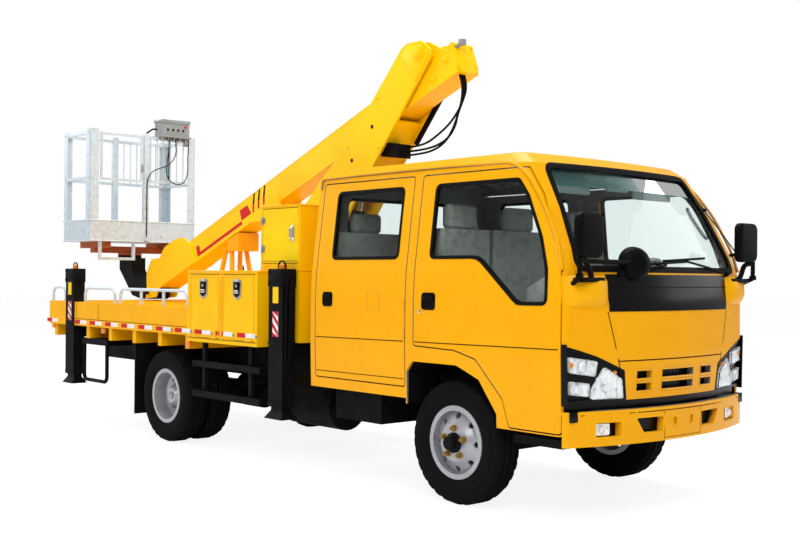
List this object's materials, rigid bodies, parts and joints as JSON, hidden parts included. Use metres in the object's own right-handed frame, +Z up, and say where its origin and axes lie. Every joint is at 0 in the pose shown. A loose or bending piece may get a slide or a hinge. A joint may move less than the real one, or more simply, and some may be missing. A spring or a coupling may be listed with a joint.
{
  "type": "truck-mounted cherry picker with folding boom",
  "caption": "Yellow crew-cab cherry picker truck with a folding boom, stabiliser legs and a basket over the tail.",
  "frame": {"origin": "on the ground, under the middle of the machine's overall length and width", "axes": "+X to the driver's side, the machine's left; -Y ahead, where the cab faces; +Z up"},
  "size_m": [2.01, 7.11, 3.1091],
  "materials": {
    "chassis_paint": "semi-gloss black",
    "engine_casting": "cast, dusty",
    "rim_silver": "silver paint",
    "tyre_rubber": "matt, treaded",
    "cab_paint": "gloss yellow",
    "clear_glass": "clear, slightly tinted",
    "interior_plastic": "dark grey, grained",
    "black_plastic": "black, fine grain",
    "deck_paint": "gloss yellow",
    "dark_paint": "dark grey",
    "rail_silver": "galvanised tube",
    "jack_steel": "semi-gloss black",
    "boom_paint": "gloss yellow",
    "cylinder_paint": "semi-gloss black",
    "rod_chrome": "polished",
    "basket_paint": "galvanised",
    "beam_orange": "orange",
    "lamp_plastic": "clear lenses"
  },
  "bodies": {
    "chassis": {"chassis_frame": "chassis_paint", "engine_and_gearbox": "engine_casting", "front_axle": "chassis_paint", "rear_axle": "chassis_paint", "cab_nose": "cab_paint", "cab_shell": "cab_paint", "cab_glass": "clear_glass", "front_bumper": "cab_paint", "cab_interior": "interior_plastic", "mirrors": "black_plastic", "deck": "deck_paint", "deck_handrails": "rail_silver", "lockers": "deck_paint", "outrigger_frames": "jack_steel", "boom_rest": "deck_paint", "slewing_base": "dark_paint", "underbody_tanks": "chassis_paint", "guards_and_steps": "chassis_paint", "lamps": "lamp_plastic"},
    "steering_knuckle_right": {"knuckle_right": "chassis_paint"},
    "front_wheel_right": {"front_rim_right": "rim_silver", "front_tyre_right": "tyre_rubber"},
    "rear_wheels_right": {"rear_rims_right": "rim_silver", "rear_tyres_right": "tyre_rubber"},
    "steering_knuckle_left": {"knuckle_left": "chassis_paint"},
    "front_wheel_left": {"front_rim_left": "rim_silver", "front_tyre_left": "tyre_rubber"},
    "rear_wheels_left": {"rear_rims_left": "rim_silver", "rear_tyres_left": "tyre_rubber"},
    "front_door_right": {"front_door_right": "cab_paint", "front_door_glass_right": "clear_glass"},
    "rear_door_right": {"rear_door_right": "cab_paint", "rear_door_glass_right": "clear_glass"},
    "locker_door_front_right": {"locker_door_front_right": "deck_paint"},
    "locker_door_rear_right": {"locker_door_rear_right": "deck_paint"},
    "front_door_left": {"front_door_left": "cab_paint", "front_door_glass_left": "clear_glass"},
    "rear_door_left": {"rear_door_left": "cab_paint", "rear_door_glass_left": "clear_glass"},
    "locker_door_front_left": {"locker_door_front_left": "deck_paint"},
    "locker_door_rear_left": {"locker_door_rear_left": "deck_paint"},
    "cabinet_door": {"cabinet_door": "deck_paint"},
    "jack_leg_front_right": {"jack_leg_front_right": "jack_steel"},
    "jack_leg_front_left": {"jack_leg_front_left": "jack_steel"},
    "jack_leg_rear_right": {"jack_leg_rear_right": "jack_steel"},
    "jack_leg_rear_left": {"jack_leg_rear_left": "jack_steel"},
    "turret": {"turret": "deck_paint"},
    "lower_boom": {"lower_boom": "boom_paint", "hose_guards": "black_plastic", "knee_hoses": "black_plastic"},
    "upper_boom": {"upper_boom": "boom_paint", "boom_side_plates": "boom_paint"},
    "lift_cylinder_barrel": {"lift_cylinder_barrel": "cylinder_paint"},
    "lift_cylinder_rod": {"lift_cylinder_rod": "rod_chrome"},
    "levelling_arm": {"levelling_arm": "dark_paint"},
    "basket": {"basket": "basket_paint", "basket_controls": "black_plastic", "basket_beams": "beam_orange", "basket_cables": "black_plastic"},
    "basket_gate": {"basket_gate": "basket_paint"}
  },
  "joints": [
    {"name": "steer_left", "type": "hinge", "parent": "chassis", "child": "steering_knuckle_left", "pos_m": [0.65, -2.49, 0.384], "axis": [0, 0, 1], "range_deg": [-35, 35]},
    {"name": "steer_right", "type": "hinge", "parent": "chassis", "child": "steering_knuckle_right", "pos_m": [-0.65, -2.49, 0.384], "axis": [0, 0, 1], "range_deg": [-35, 35]},
    {"name": "front_wheel_right_spin", "type": "hinge", "parent": "steering_knuckle_right", "child": "front_wheel_right", "pos_m": [-0.752, -2.49, 0.384], "axis": [1, 0, 0], "continuous": true},
    {"name": "rear_wheels_right_spin", "type": "hinge", "parent": "chassis", "child": "rear_wheels_right", "pos_m": [-0.715, 0.87, 0.384], "axis": [1, 0, 0], "continuous": true},
    {"name": "front_wheel_left_spin", "type": "hinge", "parent": "steering_knuckle_left", "child": "front_wheel_left", "pos_m": [0.752, -2.49, 0.384], "axis": [1, 0, 0], "continuous": true},
    {"name": "rear_wheels_left_spin", "type": "hinge", "parent": "chassis", "child": "rear_wheels_left", "pos_m": [0.715, 0.87, 0.384], "axis": [1, 0, 0], "continuous": true},
    {"name": "front_door_right_hinge", "type": "hinge", "parent": "chassis", "child": "front_door_right", "pos_m": [-0.892, -3.352, 1.4], "axis": [0, 0, 1], "range_deg": [0, 70]},
    {"name": "rear_door_right_hinge", "type": "hinge", "parent": "chassis", "child": "rear_door_right", "pos_m": [-0.901, -2.079, 1.4], "axis": [0, 0, 1], "range_deg": [0, 70]},
    {"name": "locker_door_front_right_hinge", "type": "hinge", "parent": "chassis", "child": "locker_door_front_right", "pos_m": [-0.98, -0.304, 0.905], "axis": [0, -1, 0], "range_deg": [0, 100]},
    {"name": "locker_door_rear_right_hinge", "type": "hinge", "parent": "chassis", "child": "locker_door_rear_right", "pos_m": [-0.98, 0.172, 0.905], "axis": [0, -1, 0], "range_deg": [0, 100]},
    {"name": "front_door_left_hinge", "type": "hinge", "parent": "chassis", "child": "front_door_left", "pos_m": [0.892, -3.352, 1.4], "axis": [0, 0, -1], "range_deg": [0, 70]},
    {"name": "rear_door_left_hinge", "type": "hinge", "parent": "chassis", "child": "rear_door_left", "pos_m": [0.901, -2.079, 1.4], "axis": [0, 0, -1], "range_deg": [0, 70]},
    {"name": "locker_door_front_left_hinge", "type": "hinge", "parent": "chassis", "child": "locker_door_front_left", "pos_m": [0.98, -0.304, 0.905], "axis": [0, 1, 0], "range_deg": [0, 100]},
    {"name": "locker_door_rear_left_hinge", "type": "hinge", "parent": "chassis", "child": "locker_door_rear_left", "pos_m": [0.98, 0.172, 0.905], "axis": [0, 1, 0], "range_deg": [0, 100]},
    {"name": "cabinet_door_hinge", "type": "hinge", "parent": "chassis", "child": "cabinet_door", "pos_m": [-0.853, -0.437, 1.69], "axis": [0, 0, -1], "range_deg": [0, 110]},
    {"name": "jack_leg_front_right_slide", "type": "slide", "parent": "chassis", "child": "jack_leg_front_right", "axis": [0, 0, -1], "range_m": [0, 0.36]},
    {"name": "jack_leg_front_left_slide", "type": "slide", "parent": "chassis", "child": "jack_leg_front_left", "axis": [0, 0, -1], "range_m": [0, 0.36]},
    {"name": "jack_leg_rear_right_slide", "type": "slide", "parent": "chassis", "child": "jack_leg_rear_right", "axis": [0, 0, -1], "range_m": [0, 0.36]},
    {"name": "jack_leg_rear_left_slide", "type": "slide", "parent": "chassis", "child": "jack_leg_rear_left", "axis": [0, 0, -1], "range_m": [0, 0.36]},
    {"name": "turret_slew", "type": "hinge", "parent": "chassis", "child": "turret", "pos_m": [0, -0.15, 1.183], "axis": [0, 0, 1], "range_deg": [-180, 180]},
    {"name": "lower_boom_lift", "type": "hinge", "parent": "turret", "child": "lower_boom", "pos_m": [0, 0.09, 1.56], "axis": [-1, 0, 0], "range_deg": [0, 40]},
    {"name": "upper_boom_lift", "type": "hinge", "parent": "lower_boom", "child": "upper_boom", "pos_m": [0, -1.382, 3.026], "axis": [1, 0, 0], "range_deg": [0, 120], "deforming": ["knee_hoses"]},
    {"name": "levelling_arm_tilt", "type": "hinge", "parent": "upper_boom", "child": "levelling_arm", "pos_m": [0, 2.62102, 1.21694], "axis": [-1, 0, 0], "range_deg": [0, 80]},
    {"name": "lift_cylinder_swing", "type": "hinge", "parent": "turret", "child": "lift_cylinder_barrel", "pos_m": [0, -0.33, 1.3], "axis": [-1, 0, 0], "range_deg": [0, 31]},
    {"name": "lift_cylinder_stroke", "type": "slide", "parent": "lift_cylinder_barrel", "child": "lift_cylinder_rod", "axis": [0, -0.2988, 0.9543], "range_m": [0, 0.305]},
    {"name": "basket_rotator", "type": "hinge", "parent": "levelling_arm", "child": "basket", "pos_m": [0, 3.25, 1.591], "axis": [0, 0, 1], "range_deg": [-90, 90]},
    {"name": "basket_gate_hinge", "type": "hinge", "parent": "basket", "child": "basket_gate", "pos_m": [-0.47, 2.966, 2.58], "axis": [0, 0, 1], "range_deg": [0, 90]}
  ],
  "couplings": [
    {"joint": "steer_right", "follows": "steer_left", "ratio": 1},
    {"joint": "lower_boom_lift", "follows": "upper_boom_lift", "ratio": 0.33333},
    {"joint": "levelling_arm_tilt", "follows": "upper_boom_lift", "ratio": 0.66666},
    {"joint": "turret_slew", "follows": "upper_boom_lift", "ratio": 1.5},
    {"joint": "lift_cylinder_swing", "follows": "upper_boom_lift", "ratio": 0.253},
    {"joint": "lift_cylinder_stroke", "follows": "upper_boom_lift", "m_per_rad": 0.1452}
  ]
}
